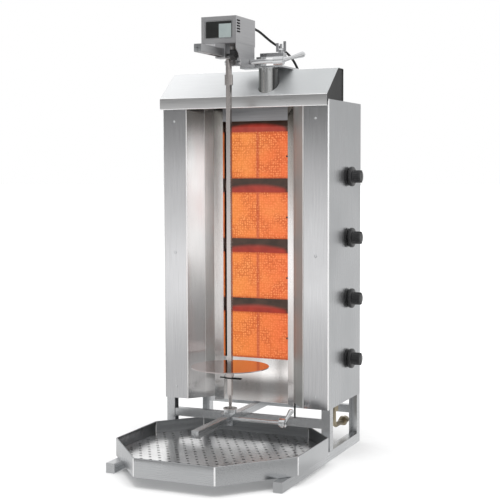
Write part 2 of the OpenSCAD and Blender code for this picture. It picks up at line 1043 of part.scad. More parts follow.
module bearing_block() {
    hole = arm_w / 2 + slide_gap;
    color("silver")
        placed()
            difference() {
                union() {
                    block([-18, -spit_y - 26, low_arm_z - 5], [18, -spit_y + 26, cup_z0]);
                    translate([0, -spit_y, cup_z0])
                        cylinder(r = 17, h = cup_z1 - cup_z0);
                }
                block([-hole, -spit_y - 27, low_arm_z - slide_gap],
                    [hole, -spit_y + 27, low_arm_z + arm_w + slide_gap]);
                translate([0, -spit_y, low_arm_z + arm_w + 2])
                    cylinder(r = foot_r + fit, h = 20);
                translate([0, -spit_y, low_clamp_z])
                    rod_x(4 + fit, 9, 19);
            }
}

// ---- spit

// A square bar with a round spindle and collar on top and a tapered round foot.
module spit_rod() {
    hole_pitch = 35;
    holes = 5;
    taper_z = 178;
    color("silver")
        placed()
            translate([0, -spit_y, 0])
                difference() {
                    union() {
                        translate([-spit_w / 2, -spit_w / 2, taper_z])
                            cube([spit_w, spit_w, collar_z0 - taper_z]);
                        rotate_extrude()
                            polygon([
                                [0, cup_z1 - 9], [foot_r, cup_z1 - 9], [foot_r, cup_z1 + 0.4],
                                [18.5, cup_z1 + 0.4], [18.5, cup_z1 + 3.4], [3.6, cup_z1 + 3.4],
                                [spit_w / 2, taper_z], [0, taper_z]
                            ]);
                        translate([0, 0, collar_z0])
                            cylinder(r = 10.8, h = spindle_z0 - collar_z0);
                        translate([0, 0, spindle_z0])
                            cylinder(r = spindle_r, h = arm_z - 3 - spindle_z0);
                    }
                    for (i = [0 : holes - 1])
                        translate([0, 0, clip_hole_z + i * hole_pitch])
                            rod_x(clip_wire + 0.15, -spit_w, spit_w);
                }
}

// The disc and its square socket, which rests on the spring clip.
module meat_disc() {
    play = spit_w / 2 + 0.2;
    disc_t = 2.5;
    socket_w = 15.5;
    socket_h = disc_z - clip_hole_z - clip_wire - 0.05;
    color("silver")
        placed()
            translate([0, -spit_y, disc_z])
                difference() {
                    union() {
                        cylinder(r = disc_r, h = disc_t, $fn = 120);
                        translate([-socket_w / 2, -socket_w / 2, -socket_h])
                            cube([socket_w, socket_w, socket_h]);
                    }
                    translate([-play, -play, -socket_h - 1])
                        cube([2 * play, 2 * play, socket_h + disc_t + 2]);
                }
}

// The spring clip: a straight leg through the spit and a leg that springs round it.
module spring_clip() {
    bend_r = 4;
    color("gray")
        placed()
            translate([0, -spit_y, clip_hole_z]) {
                rod_x(clip_wire, -29, 30);
                translate([30, -bend_r, 0])
                    rotate([0, 0, -90])
                        rotate_extrude(angle = 180)
                            translate([bend_r, 0])
                                circle(r = clip_wire, $fn = 24);
                translate([0, -2 * bend_r, 0])
                    rod_x(clip_wire, -10, 30);
            }
}

base_rail_left();
base_rail_right();
front_uprights();
rear_uprights();
front_cross_bar();
rear_cross_bar();
side_panel_left();
side_panel_right();
front_panel_left();
front_panel_right();
reflector_left();
reflector_right();
burner_frame();
floor_panel();
roof_panel();
heat_shield();
rear_cover();
hood();
hood_cheeks();
burner_deflectors();
burner_boxes();
ceramic_plates();
mixing_tubes();
gas_manifold();
gas_valves();
valve_spindle_1();
valve_spindle_2();
valve_spindle_3();
valve_spindle_4();
gas_knob_1();
gas_knob_2();
gas_knob_3();
gas_knob_4();
knob_bezels();
thermocouples();
gas_inlet();
drip_pan();
perforated_tray();
pan_stop();
panel_screws();
post();
post_head();
level_screw();
upper_arm();
motor_housing();
motor_bracket();
gear_motor();
motor_pinion();
output_gear();
spit_rod();
meat_disc();
spring_clip();
bearing_block();
lower_arm();
upper_clamp_lever();
lower_clamp_lever();
arm_knob();
motor_cable();
motor_gland();
roof_gland();
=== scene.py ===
"""Looks for the doner and gyros grill: camera, cord, materials, finer pieces, stage and light."""

import json
import math

import bmesh
import bpy
from mathutils import Matrix, Vector


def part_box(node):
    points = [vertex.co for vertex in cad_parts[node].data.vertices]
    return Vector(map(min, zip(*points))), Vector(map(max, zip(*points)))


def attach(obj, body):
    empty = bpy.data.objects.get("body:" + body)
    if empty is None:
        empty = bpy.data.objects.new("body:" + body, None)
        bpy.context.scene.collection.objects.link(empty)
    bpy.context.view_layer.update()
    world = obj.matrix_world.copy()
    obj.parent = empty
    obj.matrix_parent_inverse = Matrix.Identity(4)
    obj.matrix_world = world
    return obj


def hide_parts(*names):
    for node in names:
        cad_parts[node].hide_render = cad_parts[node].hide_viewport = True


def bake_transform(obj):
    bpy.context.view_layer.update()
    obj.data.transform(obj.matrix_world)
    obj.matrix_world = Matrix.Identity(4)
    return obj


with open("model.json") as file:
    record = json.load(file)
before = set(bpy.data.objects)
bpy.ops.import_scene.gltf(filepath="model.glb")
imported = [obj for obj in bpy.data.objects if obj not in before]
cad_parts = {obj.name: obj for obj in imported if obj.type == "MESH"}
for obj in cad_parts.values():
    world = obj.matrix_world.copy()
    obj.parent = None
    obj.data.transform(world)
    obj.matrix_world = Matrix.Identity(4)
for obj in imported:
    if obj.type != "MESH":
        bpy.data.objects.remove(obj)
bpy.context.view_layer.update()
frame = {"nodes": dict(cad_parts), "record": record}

NODES = frame["nodes"]
BODY_OF = {n: b for b, ns in frame["record"]["behaviour"]["bodies"].items() for n in ns}

# the cabinet's own zero point: middle of its width, front face, ground
ZERO = Vector(((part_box("side_panel_left")[0].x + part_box("side_panel_right")[1].x) / 2,
               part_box("front_panel_left")[0].y, 0))


def at(x, y, z):
    """A point given in the part's own millimetres."""
    return ZERO + Vector((x, y, z)) / 1000


# ---------------------------------------------------------------- camera and cord

CAMERA_AT = (1.2397, -2.7192, 0.7653)
CAMERA_YAW, CAMERA_PITCH, CAMERA_ROLL = 23.802, 3.894, -0.192
CAMERA_LENS = 81.965

CABLE_R = 0.00325
CABLE_ROUTE = [                      # millimetres, as in the part's source
    (40, -13.8, 1142), (40.3, 1.3, 1141.3), (41.9, 15.9, 1138.2), (44.8, 29.9, 1133.1),
    (48.8, 43, 1126.6), (54.1, 55.3, 1119.5), (60.6, 67, 1112.5), (68.2, 78.3, 1105.8),
    (76.4, 89, 1098.8), (84.2, 99.1, 1090.7), (91.3, 108.6, 1081.3), (97.4, 117.2, 1070.5),
    (102.2, 124.8, 1058.4), (106.1, 131.4, 1045.3), (109.2, 136.8, 1031.5), (111.5, 141.1, 1017.2),
    (113, 144, 1002.4), (113.8, 145.7, 987.4), (114, 146, 972.2),
]


def make_camera():
    data = bpy.data.cameras.new("camera")
    data.lens, data.sensor_width, data.clip_end = CAMERA_LENS, 36, 100
    cam = bpy.data.objects.new("camera", data)
    bpy.context.collection.objects.link(cam)
    turn = (Matrix.Rotation(math.radians(CAMERA_YAW), 4, "Z")
            @ Matrix.Rotation(math.radians(90 - CAMERA_PITCH), 4, "X")
            @ Matrix.Rotation(math.radians(CAMERA_ROLL), 4, "Z"))
    cam.matrix_world = Matrix.Translation(CAMERA_AT) @ turn
    bpy.context.scene.camera = cam


def catmull(points, steps):
    """A smooth curve through the points."""
    p = [Vector(q) for q in points]
    line = []
    for i in range(len(p) - 1):
        a, b, c, d = p[max(i - 1, 0)], p[i], p[i + 1], p[min(i + 2, len(p) - 1)]
        for k in range(steps):
            t = k / steps
            line.append(0.5 * (2 * b + (c - a) * t + (2 * a - 5 * b + 4 * c - d) * t * t
                               + (3 * b - a - 3 * c + d) * t * t * t))
    return line + [p[-1]]


def new_object(name, bm, smooth=32):
    """A mesh object from a bmesh, smooth except at edges sharper than the angle."""
    bmesh.ops.recalc_face_normals(bm, faces=bm.faces)
    for f in bm.faces:
        f.smooth = True
    limit = math.radians(smooth)
    for e in bm.edges:
        e.smooth = len(e.link_faces) == 2 and e.calc_face_angle(0) < limit
    mesh = bpy.data.meshes.new(name)
    bm.to_mesh(mesh)
    bm.free()
    obj = bpy.data.objects.new(name, mesh)
    bpy.context.collection.objects.link(obj)
    return obj


def tube(name, line, radius, sides=16):
    """A closed tube along a line."""
    bm = bmesh.new()
    side = Vector((1, 0, 0))
    rings = []
    for i, p in enumerate(line):
        along = (line[min(i + 1, len(line) - 1)] - line[max(i - 1, 0)]).normalized()
        side = (side - along * side.dot(along)).normalized()
        up = along.cross(side)
        rings.append([bm.verts.new(p + radius * (math.cos(a) * side + math.sin(a) * up))
                      for a in (2 * math.pi * k / sides for k in range(sides))])
    for a, b in zip(rings, rings[1:]):
        for k in range(sides):
            bm.faces.new((a[k], a[(k + 1) % sides], b[(k + 1) % sides], b[k]))
    bm.faces.new(rings[0])
    bm.faces.new(rings[-1])
    return new_object(name, bm)


def make_cable():
    line = catmull([at(*p) for p in CABLE_ROUTE], 4)
    cable = tube("cable", line, CABLE_R)
    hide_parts("motor_cable")
    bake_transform(cable)
    return cable


make_camera()
cable = make_cable()

# ---------------------------------------------------------------- node materials

X, Y, Z = 0, 1, 2

def put(nt, kind, inputs=None, **settings):
    """Adds a shader node; an input is a value or another node's socket."""
    n = nt.nodes.new("ShaderNode" + kind)
    for k, v in settings.items():
        setattr(n, k, v)
    for k, v in (inputs or {}).items():
        if isinstance(v, bpy.types.NodeSocket):
            nt.links.new(v, n.inputs[k])
        else:
            n.inputs[k].default_value = v
    return n


def start(name, **constants):
    """A Principled material with its constants set on the shader's own sockets."""
    m = bpy.data.materials.new(name)
    m.use_nodes = True
    bsdf = m.node_tree.nodes["Principled BSDF"]
    for k, v in constants.items():
        bsdf.inputs[k.replace("_", " ")].default_value = v
    return m, m.node_tree, bsdf


def place_in(nt):
    return put(nt, "TexCoord").outputs["Object"]


def scaled(nt, scale):
    """Place in the object's own space; scale is per metre along X, Y and Z."""
    return put(nt, "Mapping", {"Vector": place_in(nt), "Scale": scale}).outputs["Vector"]


def noise(nt, scale, detail=2.0):
    inputs = {"Vector": scaled(nt, scale), "Scale": 1.0, "Detail": detail}
    return put(nt, "TexNoise", inputs).outputs[0]


def remap(nt, value, low, high, a=0.0, b=1.0, smooth=False):
    kind = "SMOOTHSTEP" if smooth else "LINEAR"
    inputs = {"Value": value, 1: low, 2: high, 3: a, 4: b}
    return put(nt, "MapRange", inputs, interpolation_type=kind).outputs[0]


def mix(nt, factor, a, b, how="MIX"):
    n = put(nt, "Mix", data_type="RGBA", blend_type=how)
    for i, v in ((0, factor), (6, a), (7, b)):
        if isinstance(v, bpy.types.NodeSocket):
            nt.links.new(v, n.inputs[i])
        else:
            n.inputs[i].default_value = v if i == 0 else (*v, 1.0)
    return n.outputs[2]


def tinted(nt, factor, colour, tint):
    return mix(nt, factor, colour, mix(nt, 1.0, colour, tint, "MULTIPLY"))


def calc(nt, how, a, b=None):
    """A Math node's result."""
    return put(nt, "Math", {0: a} if b is None else {0: a, 1: b}, operation=how).outputs[0]


def times(nt, a, b):
    return calc(nt, "MULTIPLY", a, b)


def along(nt, axis):
    """Place along an axis of the object's own space, in metres."""
    return put(nt, "SeparateXYZ", {"Vector": place_in(nt)}).outputs[axis]


def away_from(nt, value, middle):
    return calc(nt, "ABSOLUTE", calc(nt, "SUBTRACT", value, middle))


def relief(nt, height, strength, distance, under=None):
    """A Bump node's normal, laid over another normal if one is given."""
    inputs = {"Height": height, "Strength": strength, "Distance": distance}
    if under is not None:
        inputs["Normal"] = under
    return put(nt, "Bump", inputs).outputs[0]


STEEL_BUMP, STEEL_SPOTS = 0.04, 0.2


def steel(name, light, dark, rough, grain, aniso=0.0, painted_fades=(), wave=0.0, stain=None, edge=None,
          metal=1.0):
    """Stainless sheet: grain streaks, cloudy patches, heat stains, waviness, painted shade and
    painted dark edges.
    Each fade is a tint of painted shade or reflection over one or more (axis, start, end) ranges,
    in metres; edge is the colour of a painted dark reflection on faces turned away."""
    m, nt, bsdf = start(name, Metallic=metal, Anisotropic=aniso)
    fine = noise(nt, grain, 2.0)
    cloud = noise(nt, (5, 5, 5), 3.0)
    colour = mix(nt, remap(nt, fine, 0.3, 0.7), dark, light)
    patches = remap(nt, cloud, 0.35, 0.7, 0.0, STEEL_SPOTS)
    colour = mix(nt, patches, colour, [0.8 * c for c in dark])
    if stain:
        heat = noise(nt, (11, 11, 4), 2.0)
        colour = tinted(nt, remap(nt, heat, 0.46, 0.66, 0.0, 0.8), colour, stain)
    # painted shade and reflection: each fade tints the colour darker over its ranges
    for tint, *ranges in painted_fades:
        steps = [remap(nt, along(nt, axis), low, high, smooth=True) for axis, low, high in ranges]
        fade = steps[0] if len(steps) == 1 else times(nt, *steps)
        colour = tinted(nt, fade, colour, tint)
    # painted dark reflection: faces turned away take the edge colour, like the dark rims of
    # polished round stock
    if edge:
        facing = put(nt, "LayerWeight", {"Blend": 0.5}).outputs["Facing"]
        colour = mix(nt, remap(nt, facing, 0.45, 0.9, smooth=True), colour, edge)
    nt.links.new(colour, bsdf.inputs["Base Color"])
    streak = remap(nt, fine, 0.2, 0.8, rough * 0.8, rough * 1.2)
    worn = remap(nt, cloud, 0.3, 0.7, 0.85, 1.2)
    nt.links.new(times(nt, streak, worn), bsdf.inputs["Roughness"])
    normal = relief(nt, fine, STEEL_BUMP, 0.0005)
    if wave:
        normal = relief(nt, noise(nt, (7, 7, 3.5), 1.0), wave, 0.01, under=normal)
    nt.links.new(normal, bsdf.inputs["Normal"])
    if aniso:
        turn = put(nt, "Tangent", direction_type="RADIAL", axis="Z")
        nt.links.new(turn.outputs[0], bsdf.inputs["Tangent"])
    return m


def moulded(name, light, dark, rough, grain, bump=0.1, **constants):
    """Plastic, rubber, brass or cast metal: mottled colour and a fine surface."""
    m, nt, bsdf = start(name, **constants)
    fine = noise(nt, (grain,) * 3, 3.0)
    cloud = noise(nt, (18,) * 3, 2.0)
    nt.links.new(mix(nt, remap(nt, cloud, 0.3, 0.7), dark, light), bsdf.inputs["Base Color"])
    nt.links.new(remap(nt, fine, 0.3, 0.7, rough * 0.8, rough * 1.25), bsdf.inputs["Roughness"])
    nt.links.new(relief(nt, fine, bump, 0.0006), bsdf.inputs["Normal"])
    return m


# grain: noise scale per metre, low along the brushing
VERTICAL = (1400, 1400, 12)
ACROSS = (12, 900, 900)
DEEP = (900, 12, 900)

hood_x0, hood_x1 = (p.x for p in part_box("hood"))
post_x = sum(p.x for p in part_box("post")) / 2
throat_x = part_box("burner_frame")[1].x
bend_x = throat_x + 0.017
# ranges of painted shade and reflection: the left reflector's second facet, and the burner frame's
# two sides
FACET = (X, -bend_x - 0.001, -bend_x + 0.003)
LEFT_SIDE, RIGHT_SIDE = (X, 0.01, -0.01), (X, -0.01, 0.01)

# steel and moulded take the grain's light and dark colours, the roughness and the grain
MATERIALS = {
    "panel": steel("panel", (0.62, 0.63, 0.64), (0.53, 0.54, 0.55), 0.30, VERTICAL, aniso=0.6),
    "front": steel("front", (0.67, 0.67, 0.68), (0.57, 0.57, 0.58), 0.18, VERTICAL, aniso=0.75),
    # painted shade at the top, under the hood, and painted reflection tones on the second facet,
    # darker towards its top
    "mirror": steel("mirror", (0.90, 0.88, 0.87), (0.80, 0.78, 0.775), 0.15, VERTICAL, aniso=0.8,
                    wave=0.22, stain=(0.92, 0.82, 0.81),
                    painted_fades=(((0.48, 0.47, 0.45), (Z, 0.845, 0.925)),
                           ((0.92, 0.91, 0.90), FACET),
                           ((0.58, 0.57, 0.55), FACET, (Z, 0.60, 0.90)))),
    # painted shade and reflection: the frame's left side a little darker, both sides darker higher
    # up, and painted shade along its top under the hood
    "frame_face": steel("frame_face", (1.0, 0.99, 0.98), (0.96, 0.95, 0.94), 0.16, VERTICAL,
                        aniso=0.7, wave=0.2, stain=(0.94, 0.88, 0.86),
                        painted_fades=(((0.86, 0.86, 0.86), LEFT_SIDE),
                               ((0.72, 0.71, 0.69), LEFT_SIDE, (Z, 0.72, 0.86)),
                               ((0.62, 0.61, 0.58), RIGHT_SIDE, (Z, 0.62, 0.80)),
                               ((0.60, 0.60, 0.58), (Z, 0.870, 0.925)))),
    # painted shade: the right reflector gets a dim grey, half-diffuse copy of the steel in place of
    # the darker reflection it shows, with pink stain patches
    "painted_dim_reflector": steel("painted_dim_reflector", (0.40, 0.41, 0.40), (0.30, 0.31, 0.30), 0.48, VERTICAL,
                  stain=(1.0, 0.82, 0.80), metal=0.25),
    # painted shade: the inside faces of the hood, shaded above the burners, are near black
    "hood_inside_shade": steel("hood_inside_shade", (0.085, 0.08, 0.075), (0.05, 0.048, 0.045), 0.6, ACROSS, metal=0.3),
    # painted highlight: the rounded folds of the sheet get a near-white steel
    "fold_highlight": steel("fold_highlight", (0.98, 0.98, 0.98), (0.94, 0.94, 0.94), 0.30, VERTICAL, metal=0.25),
    # painted shade: the hood darkens from its left end towards its right end
    "hood": steel("hood", (0.81, 0.82, 0.83), (0.74, 0.75, 0.76), 0.50, ACROSS, metal=0.6,
                  painted_fades=(((0.66, 0.67, 0.67), (X, hood_x0, hood_x1)),)),
    # painted shade: the hood's front lip gets a darker copy of the hood steel
    "lip": steel("lip", (0.60, 0.60, 0.60), (0.53, 0.53, 0.53), 0.34, ACROSS),
    # painted shade: the near-black cheek plates stand in for the shaded hollow inside the hood's
    # open ends
    "dark": steel("dark", (0.045, 0.045, 0.046), (0.025, 0.025, 0.025), 0.55, ACROSS, metal=0.3),
    "frame": steel("frame", (0.66, 0.67, 0.68), (0.56, 0.57, 0.58), 0.28, DEEP),
    "inner": steel("inner", (0.42, 0.42, 0.43), (0.32, 0.32, 0.33), 0.45, ACROSS),
    "bright": steel("bright", (0.80, 0.81, 0.82), (0.70, 0.71, 0.72), 0.14, VERTICAL),
    # painted dark reflection along the spit's edges, as on polished round stock
    "spit": steel("spit", (0.72, 0.67, 0.65), (0.60, 0.56, 0.54), 0.20, VERTICAL,
                  edge=(0.16, 0.15, 0.14)),
    "disc": steel("disc", (0.64, 0.58, 0.57), (0.54, 0.49, 0.48), 0.16, ACROSS),
    # painted reflection: dark bands painted down the post's left and right edges, with the bright
    # middle between them
    "post": steel("post", (0.92, 0.93, 0.92), (0.84, 0.85, 0.84), 0.16, VERTICAL, aniso=0.5,
                  painted_fades=(((0.16, 0.17, 0.16), (X, post_x - 0.008, post_x - 0.017)),
                         ((0.16, 0.16, 0.16), (X, post_x + 0.0175, post_x + 0.0205)))),
    "satin": steel("satin", (0.54, 0.54, 0.55), (0.46, 0.46, 0.47), 0.36, DEEP),
    "pan": steel("pan", (0.66, 0.67, 0.68), (0.57, 0.58, 0.59), 0.27, ACROSS),
    # painted shade: the inside of the pan gets a darker copy of the pan steel
    "shaded_pan_inside": steel("shaded_pan_inside", (0.36, 0.37, 0.38), (0.26, 0.27, 0.28), 0.30, ACROSS),
    "tray": steel("tray", (0.97, 0.97, 0.97), (0.89, 0.89, 0.89), 0.20, ACROSS, wave=0.30),
    "casting": moulded("casting", (0.10, 0.07, 0.06), (0.05, 0.03, 0.03), 0.7, 500, 0.4),
    "brass": moulded("brass", (0.46, 0.40, 0.29), (0.33, 0.28, 0.20), 0.36, 300, 0.15,
                     Metallic=1.0),
    "knob": moulded("knob", (0.022, 0.022, 0.024), (0.012, 0.012, 0.013), 0.28, 900, 0.05),
    "mark": moulded("mark", (0.70, 0.70, 0.68), (0.60, 0.60, 0.58), 0.45, 900, 0.05),
    "rubber": moulded("rubber", (0.012, 0.012, 0.013), (0.006, 0.006, 0.006), 0.62, 1500, 0.25),
    "black_metal": moulded("black_metal", (0.035, 0.034, 0.033), (0.02, 0.02, 0.02), 0.42, 700, 0.2,
                           Metallic=0.8),
    "can": steel("can", (0.36, 0.37, 0.38), (0.30, 0.31, 0.32), 0.42, DEEP),
}


PITCH = 0.1665                       # from one burner to the next
BURNERS = 4
PLATE_H = 0.132
RIM_FROM = 0.42                      # share of a plate's height at which its dark rim starts
PIT_SCALE = 150                      # pits in the ceramic, per metre
ARCH = 0.07                          # how far the painted glow on a strip drops towards its ends


def ceramic():
    """Glowing ceramic with a fine grid of pits, redder to the right and at each rim."""
    m, nt, bsdf = start("ceramic", Roughness=0.9, Emission_Strength=0.82)
    spread = scaled(nt, (PIT_SCALE, 1, PIT_SCALE))
    cells = put(nt, "TexVoronoi", {"Vector": spread, "Scale": 1.0, "Randomness": 0.5})
    pits = remap(nt, cells.outputs["Distance"], 0.1, 0.6)
    hot, red, glow = (0.94, 0.30, 0.055), (0.92, 0.17, 0.050), (1.0, 0.42, 0.10)
    low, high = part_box("ceramic_plates")
    colour = mix(nt, remap(nt, along(nt, X), low.x, high.x), hot, red)
    cloud = noise(nt, (14, 14, 14), 2.0)
    colour = mix(nt, remap(nt, cloud, 0.45, 0.75, 0.0, 0.35), colour, glow)
    # each burner cools towards its upper and lower edge
    first = high.z - PLATE_H / 2
    bottom = first - (BURNERS - 0.5) * PITCH
    level = remap(nt, along(nt, Z), bottom, first + 0.5 * PITCH, 0.0, float(BURNERS))
    off = away_from(nt, calc(nt, "FRACT", level), 0.5)
    share = PLATE_H / PITCH
    rim = remap(nt, off, RIM_FROM * share, 0.5 * share, smooth=True)
    colour = mix(nt, times(nt, rim, 0.85), colour, (0.35, 0.035, 0.018))
    # the seam between the two plates of a burner, and the cooler ends
    middle = (low.x + high.x) / 2
    seam = away_from(nt, along(nt, X), middle)
    line = remap(nt, seam, 0.0065, 0.0020, 0.0, 0.8, smooth=True)
    colour = mix(nt, line, colour, (0.50, 0.10, 0.05))
    ends = remap(nt, seam, high.x - middle - 0.005, high.x - middle, 0.0, 0.6)
    colour = mix(nt, ends, colour, (0.55, 0.05, 0.02))
    patch = remap(nt, noise(nt, (17, 17, 17), 1.0), 0.42, 0.62, 0.25, 1.0, smooth=True)
    colour = mix(nt, times(nt, patch, times(nt, pits, 0.62)), colour, (0.50, 0.07, 0.015))
    core = remap(nt, cells.outputs["Distance"], 0.30, 0.05)
    colour = mix(nt, times(nt, patch, times(nt, core, 0.7)), colour, (1.0, 0.62, 0.22))
    nt.links.new(colour, bsdf.inputs["Emission Color"])
    nt.links.new(mix(nt, pits, (0.26, 0.09, 0.05), (0.18, 0.05, 0.02)), bsdf.inputs["Base Color"])
    nt.links.new(relief(nt, pits, 0.4, 0.0015), bsdf.inputs["Normal"])
    return m


def scorched_with_painted_glow():
    """The strips between the burners: dark brown, with a painted red glow on their lower part for
    the burners' light on them, fading towards the ends.
    """
    m, nt, bsdf = start("scorched_with_painted_glow", Metallic=0.2, Emission_Strength=1.0)
    low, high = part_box("burner_deflectors")
    cloud = noise(nt, (40, 40, 40), 3.0)
    brown = mix(nt, remap(nt, cloud, 0.3, 0.7), (0.050, 0.036, 0.028), (0.095, 0.060, 0.045))
    nt.links.new(brown, bsdf.inputs["Base Color"])
    nt.links.new(remap(nt, cloud, 0.3, 0.7, 0.35, 0.55), bsdf.inputs["Roughness"])
    height = remap(nt, along(nt, Z), low.z, low.z + BURNERS * PITCH, 0.0, float(BURNERS))
    half = (high.x - low.x) / 2
    off = away_from(nt, along(nt, X), low.x + half)
    arch = calc(nt, "POWER", remap(nt, off, 0.0, half), 2.0)
    drop = calc(nt, "ADD", calc(nt, "FRACT", height), times(nt, arch, ARCH))
    # painted glow: the lower edge of each strip glows red for the burners' light on it, fading
    # towards the strip's ends
    lower = remap(nt, drop, 0.16, 0.08, smooth=True)
    ends = remap(nt, off, half * 0.98, half * 0.80, smooth=True)
    glow = times(nt, times(nt, lower, ends), remap(nt, cloud, 0.2, 0.8, 0.75, 1.1))
    hot = mix(nt, glow, (0.008, 0.003, 0.002), (0.34, 0.016, 0.008))
    nt.links.new(hot, bsdf.inputs["Emission Color"])
    nt.links.new(relief(nt, cloud, 0.15, 0.001), bsdf.inputs["Normal"])
    return m


def plate_print():
    """The motor's data plate, part black and part pale grey-green, with no lettering."""
    m, nt, bsdf = start("data_plate", Roughness=0.35, Metallic=0.4)
    low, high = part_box("motor_housing")
    edge = low.x + 0.5 * (high.x - low.x)
    side = remap(nt, along(nt, X), edge, edge + 0.0006)
    cloud = noise(nt, (60, 60, 60), 2.0)
    pale = mix(nt, cloud, (0.46, 0.52, 0.51), (0.36, 0.42, 0.42))
    black = mix(nt, cloud, (0.012, 0.012, 0.012), (0.025, 0.027, 0.026))
    top = remap(nt, along(nt, Z), high.z - 0.0195, high.z - 0.0190)
    right = remap(nt, along(nt, X), high.x - 0.0145, high.x - 0.0140)
    colour = mix(nt, side, black, pale)
    colour = mix(nt, calc(nt, "MAXIMUM", top, right), colour, black)
    nt.links.new(colour, bsdf.inputs["Base Color"])
    nt.links.new(relief(nt, cloud, 0.05, 0.0003), bsdf.inputs["Normal"])
    return m


MATERIALS["ceramic"] = ceramic()
MATERIALS["scorched_with_painted_glow"] = scorched_with_painted_glow()
MATERIALS["data_plate"] = plate_print()

LOOK = {
    "panel": ["side_panel_left", "side_panel_right", "rear_cover", "roof_panel"],
    "front": ["front_panel_left", "front_panel_right"],
    "mirror": ["reflector_left", "reflector_right"],
    "frame_face": ["burner_frame"],
    "hood": ["hood"],
    # painted shade: near-black cheeks where the hood's ends are in shade
    "dark": ["hood_cheeks"],
    "frame": ["base_rail_left", "base_rail_right", "front_uprights", "rear_uprights",
              "front_cross_bar", "rear_cross_bar", "lower_arm", "post_head"],
    "inner": ["floor_panel", "heat_shield", "mixing_tubes"],
    "spit": ["spit_rod"],
    "disc": ["meat_disc"],
    "bright": ["level_screw", "upper_clamp_lever", "lower_clamp_lever", "bearing_block",
               "panel_screws", "valve_spindle_1", "valve_spindle_2", "valve_spindle_3",
               "valve_spindle_4"],
    "post": ["post"],
    "satin": ["upper_arm", "motor_housing", "motor_bracket"],
    "pan": ["drip_pan"],
    "tray": ["perforated_tray"],
    "casting": ["burner_boxes"],
    "scorched_with_painted_glow": ["burner_deflectors"],
    "ceramic": ["ceramic_plates"],
    "brass": ["gas_manifold", "gas_valves", "gas_inlet", "motor_pinion", "output_gear"],
    "knob": ["gas_knob_1", "gas_knob_2", "gas_knob_3", "gas_knob_4", "knob_bezels", "arm_knob"],
    "rubber": ["motor_gland", "roof_gland"],
    "black_metal": ["thermocouples", "pan_stop", "spring_clip"],
    "can": ["gear_motor"],
}
LOOK_OF = {n: look for look, ns in LOOK.items() for n in ns}


def paint(obj, *looks):
    """Gives an object its materials. With several, the faces keep the numbers they had."""
    numbers = [f.material_index for f in obj.data.polygons]
    obj.data.materials.clear()
    for look in looks:
        obj.data.materials.append(MATERIALS[look])
    if len(looks) > 1:
        obj.data.polygons.foreach_set("material_index", numbers)
    return obj


for node, look in LOOK_OF.items():
    paint(NODES[node], look)
paint(cable, "rubber")

# ---------------------------------------------------------------- building blocks

BUILT = {"motor_cable"}              # the nodes that have a piece already


def stand_for(obj, *nodes, look=None, more=()):
    """Puts a new piece in the place of CAD nodes; more materials go by the faces' numbers."""
    BUILT.update(nodes)
    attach(obj, BODY_OF[nodes[0]])
    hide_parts(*nodes)
    return paint(obj, look or LOOK_OF[nodes[0]], *more)


def added(obj, body, look):
    """An extra piece on a body, such as a plate or a mark."""
    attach(obj, body)
    return paint(obj, look)


def mark(obj, look, test):
    """Gives the faces that pass a test a material of their own."""
    obj.data.materials.append(MATERIALS[look])
    for f in obj.data.polygons:
        if test(f):
            f.material_index = len(obj.data.materials) - 1


def round_edges(obj, width):
    """Rounds edges sharper than 28 degrees; width is in metres."""
    mod = obj.modifiers.new("edges", "BEVEL")
    mod.width, mod.segments = width, 2
    mod.limit_method, mod.angle_limit = "ANGLE", math.radians(28)
    mod.harden_normals = True
    return obj


def refine(node, edge):
    """A copy of a CAD node with its sharp edges broken and its curves smooth."""
    bm = bmesh.new()
    bm.from_mesh(NODES[node].data)
    bmesh.ops.remove_doubles(bm, verts=bm.verts, dist=2e-6)
    bmesh.ops.join_triangles(bm, faces=bm.faces, angle_face_threshold=math.radians(0.5),
                             angle_shape_threshold=math.radians(60))
    return round_edges(stand_for(new_object(node + ".fine", bm), node), edge)


def rounded(points, radius, steps=4, closed=False):
    """A path with its corners turned into arcs."""
    pts = [Vector(p) for p in points]
    out = []
    for i, p in enumerate(pts):
        if not closed and i in (0, len(pts) - 1):
            out.append(p)
            continue
        a, b = (pts[i - 1] - p), (pts[(i + 1) % len(pts)] - p)
        half = a.angle(b) / 2
        run = min(radius / math.tan(half), 0.45 * a.length, 0.45 * b.length)
        r = run * math.tan(half)
        centre = p + (a.normalized() + b.normalized()).normalized() * (r / math.sin(half))
        first, last = (p + way.normalized() * run - centre for way in (a, b))
        for k in range(steps + 1):
            t = k / steps
            out.append(centre + (first * (1 - t) + last * t).normalized() * r)
    return out


def moved(path, d, closed=False):
    """The path shifted to its left by d, with mitred corners."""
    out = []
    for i, p in enumerate(path):
        before = path[i - 1] if i or closed else None
        after = path[(i + 1) % len(path)] if i < len(path) - 1 or closed else None
        a = (p - before).normalized() if before is not None else (after - p).normalized()
        b = (after - p).normalized() if after is not None else a
        na, nb = Vector((-a.y, a.x)), Vector((-b.y, b.x))
        out.append(p + (na + nb) * (d / (1 + na.dot(nb))))
    return out


def plan(p, z):
    return at(p.x, p.y, z)


def profile(p, x):
    return at(x, p.x, p.y)


def sheet(name, path, thick, to, low, high, radius):
    """Folded sheet metal: a path with rounded folds, given a thickness and run from low to high.
    The folds' faces have material 1. to() turns a point of the path and a distance into a place."""
    steps = 4
    mid = rounded(path, radius, steps)
    bm = bmesh.new()
    rows = []
    for p, q in zip(mid, moved(mid, thick)):
        rows.append([bm.verts.new(to(s, h)) for s, h in ((p, low), (q, low), (q, high), (p, high))])
    for i, (a, b) in enumerate(zip(rows, rows[1:])):
        for k in range(4):
            face = bm.faces.new((a[k], a[(k + 1) % 4], b[(k + 1) % 4], b[k]))
            face.material_index = int(i % (steps + 1) > 0)
    bm.faces.new(rows[0])
    bm.faces.new(rows[-1])
    return new_object(name, bm, smooth=50)


